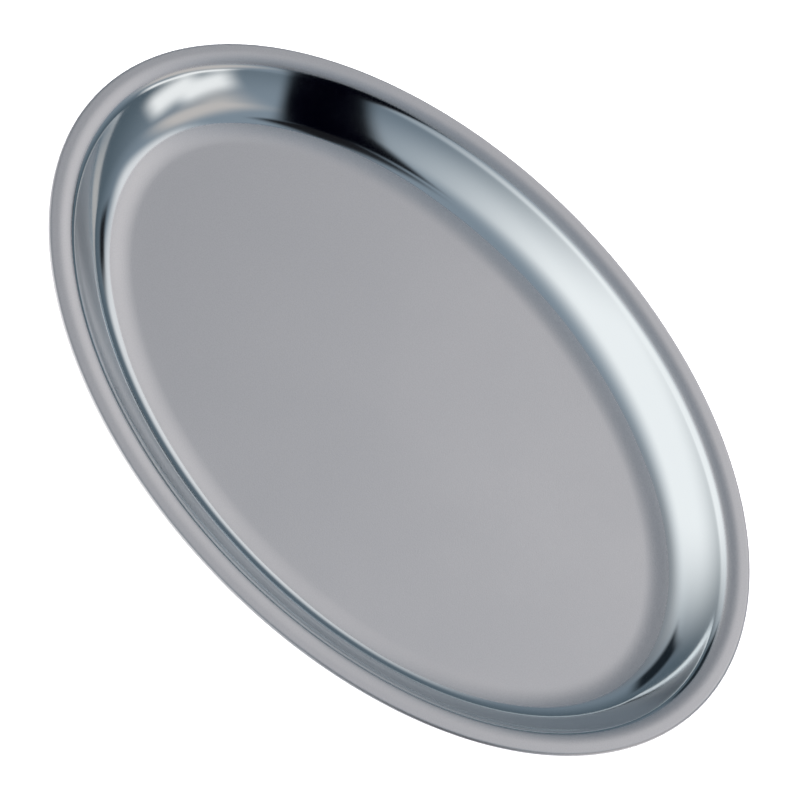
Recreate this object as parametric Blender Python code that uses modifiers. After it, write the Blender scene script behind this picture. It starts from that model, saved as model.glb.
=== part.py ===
"""Shallow oval dish, deep drawn in one piece from a sheet of stainless steel.

The dish stands on its flat floor at z = 0, centred on the origin, with its long axis
along X. From outside to inside the sheet is a short turned-down edge, a flat rim, a
crown and a lip that bend it down, a slightly hollow wall, a cove and a wide fillet that
bring it back to level, and the flat floor. That cross-section is the bevel of an
elliptical curve, which sweeps it round the rim at an even width, and Solidify gives the
swept skin its thickness. Lengths are in metres.
"""
import math

import bmesh
import bpy
from mathutils import Vector

# Driving dimensions of the dish; radii and angles are those of the sheet's upper face
LENGTH = 0.260                      # outer length along X
WIDTH = 0.180                       # outer width along Y
SHEET = 0.0007                      # thickness of the steel
EDGE_RADIUS = 0.0010                # turned-down outer edge
EDGE_DROP = 0.0003                  # straight part below that bend
RIM_FLAT = 0.0029                   # from the outer edge to where the rim starts to fall
CROWN_RADIUS = 0.0120               # gentle bend that the rim starts with
CROWN_SLOPE = math.radians(18.0)
LIP_RADIUS = 0.0050                 # tighter bend into the wall
WALL_SLOPE = math.radians(52.0)     # the steepest place, at the top of the wall
WALL_RADIUS = 0.0420                # the wall is slightly hollow
COVE_SLOPE = math.radians(39.0)     # where the wall ends and the cove starts
COVE_RADIUS = 0.0157                # tighter hollow at the foot of the wall
FILLET_SLOPE = math.radians(18.0)   # where the cove ends and the fillet starts
FILLET_RADIUS = 0.0260              # wide fillet that runs out into the floor

# Facets
OUTLINE_STEPS = 88                  # round the ellipse
EDGE_STEPS = 3
CROWN_STEPS = 2
LIP_STEPS = 3
WALL_STEPS = 2
COVE_STEPS = 3
FILLET_STEPS = 3
WELD_DISTANCE = 1e-6
SMOOTH_ANGLE = math.radians(40.0)

STEEL_COLOUR = (0.60, 0.61, 0.62, 1.0)
STEEL_ROUGHNESS = 0.32


def clear_scene():
    """Remove whatever objects the file opened with."""
    for obj in list(bpy.data.objects):
        bpy.data.objects.remove(obj, do_unlink=True)


def new_collection(name):
    """Make a collection under the scene's own."""
    collection = bpy.data.collections.new(name)
    bpy.context.scene.collection.children.link(collection)
    return collection


def steel_material():
    """Plain stainless steel."""
    material = bpy.data.materials.new("stainless_steel")
    material.use_nodes = True
    shader = material.node_tree.nodes["Principled BSDF"]
    shader.inputs["Base Color"].default_value = STEEL_COLOUR
    shader.inputs["Metallic"].default_value = 1.0
    shader.inputs["Roughness"].default_value = STEEL_ROUGHNESS
    return material


def arc(centre, radius, start, end, steps):
    """Points on a circle from one angle to another, both ends included."""
    points = []
    for step in range(steps + 1):
        angle = start + (end - start) * step / steps
        offset = Vector((math.cos(angle), math.sin(angle))) * radius
        points.append(Vector(centre) + offset)
    return points


def bend(start, radius, first_slope, last_slope, steps):
    """Points after start along a bend that takes the falling sheet from one slope to another."""
    points = []
    for step in range(1, steps + 1):
        slope = first_slope + (last_slope - first_slope) * step / steps
        run = radius * abs(math.sin(slope) - math.sin(first_slope))
        fall = radius * abs(math.cos(slope) - math.cos(first_slope))
        points.append(Vector(start) + Vector((run, -fall)))
    return points


def section_points():
    """Upper face of the sheet as (distance in from the outer edge, height)."""
    edge = arc((EDGE_RADIUS, -EDGE_RADIUS), EDGE_RADIUS, math.pi, math.pi / 2, EDGE_STEPS)
    edge_foot = Vector((0.0, -EDGE_RADIUS - EDGE_DROP))
    rim_end = Vector((RIM_FLAT, 0.0))
    crown = bend(rim_end, CROWN_RADIUS, 0.0, CROWN_SLOPE, CROWN_STEPS)
    lip = bend(crown[-1], LIP_RADIUS, CROWN_SLOPE, WALL_SLOPE, LIP_STEPS)
    wall = bend(lip[-1], WALL_RADIUS, WALL_SLOPE, COVE_SLOPE, WALL_STEPS)
    cove = bend(wall[-1], COVE_RADIUS, COVE_SLOPE, FILLET_SLOPE, COVE_STEPS)
    fillet = bend(cove[-1], FILLET_RADIUS, FILLET_SLOPE, 0.0, FILLET_STEPS)
    points = [edge_foot] + edge + [rim_end] + crown + lip + wall + cove + fillet
    floor_to_rim = Vector((0.0, SHEET - fillet[-1].y))
    return [point + floor_to_rim for point in points]


def section_curve(collection):
    """The cross-section as an open curve, used only as a guide for the sweep."""
    points = section_points()
    data = bpy.data.curves.new("dish_section", "CURVE")
    data.dimensions = "2D"
    spline = data.splines.new("POLY")
    spline.points.add(len(points) - 1)
    for target, point in zip(spline.points, points):
        target.co = (point.x, point.y, 0.0, 1.0)
    guide = bpy.data.objects.new("dish_section", data)
    guide.hide_render = True
    guide.display_type = "WIRE"
    collection.objects.link(guide)
    return guide


def swept_skin(section):
    """Sweep the cross-section round the outer ellipse and return the skin as a mesh."""
    data = bpy.data.curves.new("dish_outline", "CURVE")
    data.dimensions = "3D"
    data.twist_mode = "Z_UP"
    data.bevel_mode = "OBJECT"
    data.bevel_object = section
    outline = data.splines.new("POLY")
    outline.points.add(OUTLINE_STEPS - 1)
    outline.use_cyclic_u = True
    for step, point in enumerate(outline.points):
        # Clockwise from above, because the section's +X is to the right of the path
        angle = -math.tau * step / OUTLINE_STEPS
        point.co = (LENGTH / 2 * math.cos(angle), WIDTH / 2 * math.sin(angle), 0.0, 1.0)
    path = bpy.data.objects.new("dish_outline", data)
    bpy.context.scene.collection.objects.link(path)
    depsgraph = bpy.context.evaluated_depsgraph_get()
    skin = bpy.data.meshes.new_from_object(path.evaluated_get(depsgraph))
    bpy.data.objects.remove(path, do_unlink=True)
    return skin


def close_floor(skin):
    """Weld the skin, fill the floor inside its lowest ring and face it upwards."""
    mesh = bmesh.new()
    mesh.from_mesh(skin)
    bmesh.ops.remove_doubles(mesh, verts=mesh.verts, dist=WELD_DISTANCE)
    floor_ring = [edge for edge in mesh.edges
                  if edge.is_boundary and all(vert.co.z < SHEET + WELD_DISTANCE for vert in edge.verts)]
    bmesh.ops.contextual_create(mesh, geom=floor_ring)
    bmesh.ops.recalc_face_normals(mesh, faces=mesh.faces)
    floor = max(mesh.faces, key=lambda face: face.calc_area())
    if floor.normal.z < 0:
        bmesh.ops.reverse_faces(mesh, faces=mesh.faces)
    mesh.to_mesh(skin)
    mesh.free()


def dish_body(collection, guides):
    """The whole dish: the swept skin, with the sheet's thickness below it."""
    skin = swept_skin(section_curve(guides))
    close_floor(skin)
    skin.name = "dish_body"
    skin.shade_smooth()
    skin.set_sharp_from_angle(angle=SMOOTH_ANGLE)
    skin.materials.clear()
    skin.materials.append(steel_material())
    body = bpy.data.objects.new("dish_body", skin)
    collection.objects.link(body)
    thickness = body.modifiers.new("sheet_thickness", "SOLIDIFY")
    thickness.thickness = SHEET
    thickness.offset = -1.0
    thickness.use_even_offset = True
    thickness.use_quality_normals = True
    return body


clear_scene()
dish_body(new_collection("oval_dish"), new_collection("guides"))
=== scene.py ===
"""Looks of the oval steel dish: one pressed sheet with a satin rim and floor and a mirror wall.

A finer sweep of the same cross-section stands for the CAD node dish_body. The studio is a
pale floor that also gives off light, one overhead softbox that lights it, and a procedural
sky of soft panels that the steel reflects. Lengths are in metres.
"""
import math

import bmesh
import bpy
from mathutils import Matrix, Vector


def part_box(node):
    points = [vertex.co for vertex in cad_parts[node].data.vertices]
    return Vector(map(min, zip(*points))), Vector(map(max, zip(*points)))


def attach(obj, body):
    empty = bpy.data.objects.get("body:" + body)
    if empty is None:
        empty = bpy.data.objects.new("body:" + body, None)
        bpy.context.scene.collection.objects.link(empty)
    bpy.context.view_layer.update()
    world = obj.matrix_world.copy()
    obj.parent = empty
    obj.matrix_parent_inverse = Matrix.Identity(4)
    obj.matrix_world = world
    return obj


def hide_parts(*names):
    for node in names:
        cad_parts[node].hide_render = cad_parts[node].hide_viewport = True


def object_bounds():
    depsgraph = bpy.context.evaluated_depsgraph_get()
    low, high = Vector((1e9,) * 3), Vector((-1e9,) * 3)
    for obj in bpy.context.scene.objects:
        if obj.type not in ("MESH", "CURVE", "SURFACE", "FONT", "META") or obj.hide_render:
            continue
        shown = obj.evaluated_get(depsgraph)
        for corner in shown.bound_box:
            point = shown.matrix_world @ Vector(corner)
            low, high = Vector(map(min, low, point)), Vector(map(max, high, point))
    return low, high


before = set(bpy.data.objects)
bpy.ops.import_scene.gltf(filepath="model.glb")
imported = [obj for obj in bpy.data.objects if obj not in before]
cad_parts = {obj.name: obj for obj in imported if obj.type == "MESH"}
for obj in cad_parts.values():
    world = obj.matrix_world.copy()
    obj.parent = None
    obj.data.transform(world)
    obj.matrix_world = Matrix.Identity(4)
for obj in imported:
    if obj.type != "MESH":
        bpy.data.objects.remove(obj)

CAD_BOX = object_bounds()
DISH_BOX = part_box("dish_body")

# Cross-section of the sheet, as in the CAD
SHEET = 0.0007
EDGE_RADIUS = 0.0010
EDGE_DROP = 0.0003
CUT_RADIUS = 0.0002          # the cut edge of the sheet is deburred to this
RIM_FLAT = 0.0029
CROWN_RADIUS = 0.0120
CROWN_SLOPE = math.radians(18.0)
LIP_RADIUS = 0.0050
WALL_SLOPE = math.radians(52.0)
WALL_RADIUS = 0.0420
COVE_SLOPE = math.radians(39.0)
COVE_RADIUS = 0.0157
FILLET_SLOPE = math.radians(18.0)
FILLET_RADIUS = 0.0260
HALF_LENGTH = DISH_BOX[1][0]
HALF_WIDTH = DISH_BOX[1][1]
RIM_TOP = DISH_BOX[1][2]
CUT_HEIGHT = RIM_TOP - EDGE_RADIUS - EDGE_DROP + CUT_RADIUS  # where the rounding of the cut starts

# Mesh: steps round the outline, and along each stretch of the section
OUTLINE_STEPS = 448
EDGE_STEPS = 8
CUT_STEPS = 4
RIM_STEPS = 4
CROWN_STEPS = 8
LIP_STEPS = 12
WALL_STEPS = 16
COVE_STEPS = 16
FILLET_STEPS = 16
FLOOR_RINGS = 14

# Finish bands, as distance in from the outer edge
MIRROR_START = 0.0073
MIRROR_END = 0.0214
START_BLUR = 0.0004
END_BLUR = 0.0004
BAND_WANDER = 0.0008         # how far a band's edge strays, from one side to the other

# Steel: noise scales are per metre, and a pair is a lowest and a highest value
WANDER_SCALE = 25.0
GRAIN_SCALE = 2600.0
CLOUD_SCALE = 18.0
SMEAR_SCALE = 60.0
NOISE_SPAN = (0.3, 0.7)      # most of a noise's values lie between these
SATIN_ROUGHNESS = (0.30, 0.38)
CLOUD_ROUGHNESS = (-0.015, 0.015)
POLISHED_ROUGHNESS = (0.07, 0.10)
SATIN_DARK = (0.80, 0.78, 0.79, 1.0)
SATIN_LIGHT = (0.86, 0.84, 0.85, 1.0)
POLISHED_TINT = (0.84, 0.88, 0.90, 1.0)
GRAIN_STRENGTH = 0.2
GRAIN_HEIGHT = 0.0001

# Camera: it looks along the azimuth, which is measured from +Y towards +X
CAMERA_ELEVATION = math.radians(54.0)
CAMERA_AZIMUTH = math.radians(-25.9)
CAMERA_ROLL = math.radians(29.65)
CAMERA_DISTANCE = 1.30
CAMERA_LENS = 199.0
CAMERA_SENSOR = 36.0
CAMERA_SHIFT = (-0.0006, -0.0166)
CAMERA_REACH = 20.0
AIM_DEPTH = 0.0005           # how far below the rim's top the camera aims

# Sky
HORIZON_COLOUR = (0.08, 0.11, 0.135, 1.0)
ZENITH_COLOUR = (0.23, 0.28, 0.33, 1.0)
ZENITH_START = 0.8           # sine of the elevation where the zenith's colour is reached
AHEAD_FADE = 0.1             # a panel fades out where the cosine from its centre is below this
SKY_PANELS = (
    # azimuth, elevation, half width and half height in degrees; feather as a sine; colour
    (180, 7, 60, 9, 0.10, (0.85, 0.87, 0.90, 1.0)),        # low white band behind the camera
    (-30, 52, 22, 16, 0.16, (0.14, 0.16, 0.185, 1.0)),     # dim, high ahead on the left
    (22, 50, 16, 14, 0.12, (0.78, 0.78, 0.79, 1.0)),       # light, high ahead on the right
    (12, 29, 11, 9, 0.10, (0.78, 0.78, 0.79, 1.0)),        # light, lower ahead
    (-110, 35, 35, 26, 0.30, (0.97, 0.98, 0.98, 1.0)),     # large white softbox on the left
    (91, 20, 13, 7, 0.09, (0.95, 0.94, 0.93, 1.0)),        # white strip, low on the right
    (108, 26, 12, 7, 0.09, (0.95, 0.94, 0.93, 1.0)),       # its other half, further back
    (93, 48, 20, 11, 0.15, (0.56, 0.52, 0.50, 1.0)),       # dimmer, warmer panel above them
    (120, 83, 9, 8, 0.05, (0.01, 0.01, 0.012, 1.0)),       # dark patch overhead
    (157, 45, 11.5, 34, 0.04, (0.0, 0.0, 0.002, 1.0)),     # tall black flag, right of the camera
    (29, 22, 5, 5, 0.05, (0.01, 0.01, 0.012, 1.0)),        # small and dark, ahead on the right
    (-45, 24, 11, 9, 0.06, (0.01, 0.015, 0.02, 1.0)),      # dark, ahead on the left
)

# Softbox and floor
SOFTBOX_SIZE = 1.6
SOFTBOX_HEIGHT = 1.5
SOFTBOX_POWER = 30.0
FLOOR_SIZE = 8.0
FLOOR_GAP = 0.0002
FLOOR_COLOUR = (0.92, 0.92, 0.92, 1.0)
FLOOR_ROUGHNESS = 0.9
FLOOR_GLOW_COLOUR = (1.0, 1.0, 1.0, 1.0)
FLOOR_GLOW = 0.7


# ---------------------------------------------------------------- geometry

def arc(centre, radius, start, end, steps):
    """Points on a circle from one angle to another, both ends included."""
    points = []
    for step in range(steps + 1):
        angle = start + (end - start) * step / steps
        points.append(Vector((centre[0] + radius * math.cos(angle),
                              centre[1] + radius * math.sin(angle))))
    return points


def line(start, end, steps):
    """Points inside a straight line, without its ends."""
    return [start.lerp(end, step / steps) for step in range(1, steps)]


def bend(start, radius, first_slope, last_slope, steps):
    """(Point, slope) pairs along a bend that takes the falling sheet from one slope to another."""
    pairs = []
    for step in range(1, steps + 1):
        slope = first_slope + (last_slope - first_slope) * step / steps
        run = radius * abs(math.sin(slope) - math.sin(first_slope))
        fall = radius * abs(math.cos(slope) - math.cos(first_slope))
        pairs.append((start + Vector((run, -fall)), slope))
    return pairs


def face_points(sunk):
    """Points along one face of the sheet, from the edge's foot to the flat floor.

    The face lies this deep in the sheet: 0 is the upper face and SHEET the lower one.
    """
    edge = arc((EDGE_RADIUS, RIM_TOP - EDGE_RADIUS), EDGE_RADIUS - sunk,
               math.pi, math.pi / 2, EDGE_STEPS)
    foot = Vector((sunk, CUT_HEIGHT))
    rim_end = (Vector((RIM_FLAT, RIM_TOP)), 0.0)
    crown = bend(rim_end[0], CROWN_RADIUS, 0.0, CROWN_SLOPE, CROWN_STEPS)
    lip = bend(crown[-1][0], LIP_RADIUS, CROWN_SLOPE, WALL_SLOPE, LIP_STEPS)
    wall = bend(lip[-1][0], WALL_RADIUS, WALL_SLOPE, COVE_SLOPE, WALL_STEPS)
    cove = bend(wall[-1][0], COVE_RADIUS, COVE_SLOPE, FILLET_SLOPE, COVE_STEPS)
    fillet = bend(cove[-1][0], FILLET_RADIUS, FILLET_SLOPE, 0.0, FILLET_STEPS)
    fall = [point - Vector((math.sin(slope), math.cos(slope))) * sunk
            for point, slope in [rim_end] + crown + lip + wall + cove + fillet]
    rim = line(edge[-1], fall[0], RIM_STEPS)
    return [foot] + edge + rim + fall


def cut_edge():
    """The rounded cut edge at the foot of the turned-down rim, from inside to outside."""
    down = -math.pi / 2
    inner = arc((SHEET - CUT_RADIUS, CUT_HEIGHT), CUT_RADIUS, 0.0, down, CUT_STEPS)
    outer = arc((CUT_RADIUS, CUT_HEIGHT), CUT_RADIUS, down, -math.pi, CUT_STEPS)
    return inner[1:] + outer[:-1]


def outline(inset, height):
    """A ring parallel to the outer ellipse, at this distance inside it."""
    ring = []
    for step in range(OUTLINE_STEPS):
        angle = math.tau * step / OUTLINE_STEPS
        x, y = HALF_LENGTH * math.cos(angle), HALF_WIDTH * math.sin(angle)
        normal = Vector((math.cos(angle) / HALF_LENGTH, math.sin(angle) / HALF_WIDTH)).normalized()
        ring.append(Vector((x - inset * normal.x, y - inset * normal.y, height)))
    return ring


def add_ring(mesh, layer, points, inset):
    """Add one ring of vertices and remember its distance in from the edge."""
    ring = [mesh.verts.new(point) for point in points]
    for vert in ring:
        vert[layer] = inset
    return ring


def bridge(mesh, first, second):
    """Quads between two rings of the same count."""
    count = len(first)
    for step in range(count):
        after = (step + 1) % count
        mesh.faces.new((first[step], first[after], second[after], second[step]))


def floor_rings(mesh, layer, edge_ring, inset, flip):
    """Fill a floor from its edge to the centre with shrinking rings, wound backwards for flip."""
    previous = edge_ring
    for ring_number in range(1, FLOOR_RINGS):
        share = 1.0 - ring_number / FLOOR_RINGS
        points = [Vector((vert.co.x * share, vert.co.y * share, vert.co.z)) for vert in edge_ring]
        ring = add_ring(mesh, layer, points, inset + (1.0 - share) * HALF_WIDTH)
        bridge(mesh, *((ring, previous) if flip else (previous, ring)))
        previous = ring
    centre = mesh.verts.new((0.0, 0.0, edge_ring[0].co.z))
    centre[layer] = inset + HALF_WIDTH
    count = len(previous)
    for step in range(count):
        after = (step + 1) % count
        corner = (previous[step], previous[after], centre)
        mesh.faces.new(tuple(reversed(corner)) if flip else corner)


def dish_mesh():
    """The closed skin of the sheet, with the distance in from the edge on each vertex."""
    mesh = bmesh.new()
    layer = mesh.verts.layers.float.new("inset")
    upper = face_points(0.0)
    lower = face_points(SHEET)
    section = list(reversed(lower)) + cut_edge() + upper
    rings = [add_ring(mesh, layer, outline(point.x, point.y), point.x) for point in section]
    for first, second in zip(rings, rings[1:]):
        bridge(mesh, first, second)
    floor_rings(mesh, layer, rings[-1], upper[-1].x, False)
    floor_rings(mesh, layer, rings[0], lower[-1].x, True)
    bmesh.ops.recalc_face_normals(mesh, faces=mesh.faces)
    data = bpy.data.meshes.new("steel_dish")
    mesh.to_mesh(data)
    mesh.free()
    data.shade_smooth()
    return data


# ---------------------------------------------------------------- materials

class Nodes:
    """Short calls for building a node tree."""

    def __init__(self, tree):
        self.tree = tree

    def add(self, kind, inputs=(), **settings):
        """Add a node, set its properties, and fill its inputs with values or links."""
        node = self.tree.nodes.new(kind)
        for key, value in settings.items():
            setattr(node, key, value)
        for key, value in dict(inputs).items():
            if isinstance(value, bpy.types.NodeSocket):
                self.tree.links.new(value, node.inputs[key])
            else:
                node.inputs[key].default_value = value
        return node

    def math(self, operation, *values):
        """A Math node's result."""
        return self.add("ShaderNodeMath", dict(enumerate(values)), operation=operation).outputs[0]

    def dot(self, first, second):
        """The dot product of two vectors."""
        inputs = {0: first, 1: second}
        return self.add("ShaderNodeVectorMath", inputs, operation="DOT_PRODUCT").outputs["Value"]

    def ramp(self, value, low, high, start=0.0, end=1.0):
        """A smooth step from start to end as value goes from low to high."""
        inputs = {"Value": value, "From Min": low, "From Max": high, "To Min": start, "To Max": end}
        return self.add("ShaderNodeMapRange", inputs, interpolation_type="SMOOTHSTEP").outputs[0]

    def mix(self, factor, first, second):
        """A colour between two colours."""
        inputs = {0: factor, 6: first, 7: second}
        return self.add("ShaderNodeMix", inputs, data_type="RGBA").outputs[2]

    def noise(self, vector, scale, detail, roughness=0.5):
        """A noise value from 0 to 1."""
        inputs = {"Vector": vector, "Scale": scale, "Detail": detail, "Roughness": roughness}
        return self.add("ShaderNodeTexNoise", inputs).outputs[0]


def steel_material():
    """Stainless steel that is satin on the rim, fillet and floor and polished on the wall."""
    material = bpy.data.materials.new("satin_and_mirror_steel")
    material.use_nodes = True
    tree = material.node_tree
    shader = tree.nodes["Principled BSDF"]
    nodes = Nodes(tree)
    place = nodes.add("ShaderNodeTexCoord").outputs["Object"]
    inset = nodes.add("ShaderNodeAttribute", attribute_name="inset").outputs["Fac"]
    stray = nodes.math("SUBTRACT", nodes.noise(place, WANDER_SCALE, 1.0), 0.5)
    inset = nodes.math("ADD", inset, nodes.math("MULTIPLY", stray, BAND_WANDER))
    polished = nodes.math(
        "MULTIPLY",
        nodes.ramp(inset, MIRROR_START - START_BLUR, MIRROR_START + START_BLUR),
        nodes.ramp(inset, MIRROR_END - END_BLUR, MIRROR_END + END_BLUR, 1.0, 0.0))
    grain = nodes.noise(place, GRAIN_SCALE, 2.0, 0.6)
    cloud = nodes.noise(place, CLOUD_SCALE, 3.0)
    smear = nodes.noise(place, SMEAR_SCALE, 3.0)
    satin_rough = nodes.math("ADD", nodes.ramp(grain, *NOISE_SPAN, *SATIN_ROUGHNESS),
                             nodes.ramp(cloud, *NOISE_SPAN, *CLOUD_ROUGHNESS))
    polish_rough = nodes.ramp(smear, *NOISE_SPAN, *POLISHED_ROUGHNESS)
    rough = nodes.add("ShaderNodeMix", {0: polished, 2: satin_rough, 3: polish_rough}).outputs[0]
    satin_tint = nodes.mix(nodes.ramp(grain, *NOISE_SPAN), SATIN_DARK, SATIN_LIGHT)
    tint = nodes.mix(polished, satin_tint, POLISHED_TINT)
    satin_only = nodes.math("SUBTRACT", 1.0, polished)
    bump_strength = nodes.math("MULTIPLY", satin_only, GRAIN_STRENGTH)
    grain_bump = nodes.add("ShaderNodeBump", {"Strength": bump_strength, "Distance": GRAIN_HEIGHT,
                                              "Height": grain})
    shader.inputs["Metallic"].default_value = 1.0
    tree.links.new(tint, shader.inputs["Base Color"])
    tree.links.new(rough, shader.inputs["Roughness"])
    tree.links.new(grain_bump.outputs[0], shader.inputs["Normal"])
    return material


# ---------------------------------------------------------------- studio

def heading(azimuth, elevation):
    """Direction of a place in the sky: azimuth 0 is away from the camera, plus is to its right."""
    turn = CAMERA_AZIMUTH + math.radians(azimuth)
    rise = math.radians(elevation)
    level = math.cos(rise)
    return Vector((math.sin(turn) * level, math.cos(turn) * level, math.sin(rise)))


def panel(nodes, direction, colour, azimuth, elevation, half_width, half_height, feather, shade):
    """Lay a soft-edged panel over the sky's colour and return the new colour."""
    centre = heading(azimuth, elevation)
    side = centre.cross(Vector((0.0, 0.0, 1.0))).normalized()
    up = side.cross(centre)
    across = nodes.math("ABSOLUTE", nodes.dot(direction, side))
    along = nodes.math("ABSOLUTE", nodes.dot(direction, up))
    ahead = nodes.ramp(nodes.dot(direction, centre), 0.0, AHEAD_FADE)
    wide = math.sin(math.radians(half_width))
    high = math.sin(math.radians(half_height))
    mask = nodes.math("MULTIPLY",
                      nodes.ramp(across, wide - feather, wide + feather, 1.0, 0.0),
                      nodes.ramp(along, high - feather, high + feather, 1.0, 0.0))
    mask = nodes.math("MULTIPLY", mask, ahead)
    return nodes.mix(mask, colour, shade)


def studio_sky():
    """Dim blue-grey room with soft panels, seen only as light and as reflections in the steel."""
    world = bpy.data.worlds.new("studio")
    bpy.context.scene.world = world
    world.use_nodes = True
    nodes = Nodes(world.node_tree)
    background = world.node_tree.nodes["Background"]
    direction = nodes.add("ShaderNodeTexCoord").outputs["Generated"]
    height = nodes.dot(direction, Vector((0.0, 0.0, 1.0)))
    colour = nodes.mix(nodes.ramp(height, 0.0, ZENITH_START), HORIZON_COLOUR, ZENITH_COLOUR)
    for settings in SKY_PANELS:
        colour = panel(nodes, direction, colour, *settings)
    world.node_tree.links.new(colour, background.inputs["Color"])
    background.inputs["Strength"].default_value = 1.0


def overhead_light():
    """A large softbox above the dish that lights the floor and isn't reflected in the steel."""
    data = bpy.data.lights.new("overhead_softbox", "AREA")
    data.shape = "RECTANGLE"
    data.size = SOFTBOX_SIZE
    data.size_y = SOFTBOX_SIZE
    data.energy = SOFTBOX_POWER
    light = bpy.data.objects.new("overhead_softbox", data)
    light.location = (0.0, 0.0, SOFTBOX_HEIGHT)
    light.visible_glossy = False
    light.visible_camera = False
    bpy.context.scene.collection.objects.link(light)


def floor():
    """Pale matt floor that the dish stands on. Its own light removes the dish's contact shadow."""
    height = CAD_BOX[0][2] - FLOOR_GAP
    bpy.ops.mesh.primitive_plane_add(size=FLOOR_SIZE, location=(0.0, 0.0, height))
    plane = bpy.context.object
    plane.name = "studio_floor"
    material = bpy.data.materials.new("pale_floor")
    material.use_nodes = True
    shader = material.node_tree.nodes["Principled BSDF"]
    shader.inputs["Base Color"].default_value = FLOOR_COLOUR
    shader.inputs["Roughness"].default_value = FLOOR_ROUGHNESS
    shader.inputs["Specular IOR Level"].default_value = 0.0
    shader.inputs["Emission Color"].default_value = FLOOR_GLOW_COLOUR
    shader.inputs["Emission Strength"].default_value = FLOOR_GLOW
    plane.data.materials.append(material)


def camera():
    """Camera at the viewing angle of the reference, rolled about its own axis."""
    data = bpy.data.cameras.new("camera")
    data.lens = CAMERA_LENS
    data.sensor_width = CAMERA_SENSOR
    data.shift_x, data.shift_y = CAMERA_SHIFT
    data.clip_end = CAMERA_REACH
    view = bpy.data.objects.new("camera", data)
    target = Vector((0.0, 0.0, RIM_TOP - AIM_DEPTH))
    ahead = heading(0.0, 0.0)
    right = Vector((ahead.y, -ahead.x, 0.0))
    back = Vector((0, 0, 1)) * math.sin(CAMERA_ELEVATION) - ahead * math.cos(CAMERA_ELEVATION)
    up = back.cross(right)
    turned_right = right * math.cos(CAMERA_ROLL) + up * math.sin(CAMERA_ROLL)
    turned_up = up * math.cos(CAMERA_ROLL) - right * math.sin(CAMERA_ROLL)
    rotation = Matrix((turned_right, turned_up, back)).transposed()
    view.matrix_world = Matrix.Translation(target + back * CAMERA_DISTANCE) @ rotation.to_4x4()
    bpy.context.scene.collection.objects.link(view)
    bpy.context.scene.camera = view


dish = bpy.data.objects.new("steel_dish", dish_mesh())
dish.data.materials.append(steel_material())
bpy.context.scene.collection.objects.link(dish)
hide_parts("dish_body")
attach(dish, "root")

camera()
studio_sky()
overhead_light()
floor()
bpy.context.scene.view_settings.view_transform = "Standard"
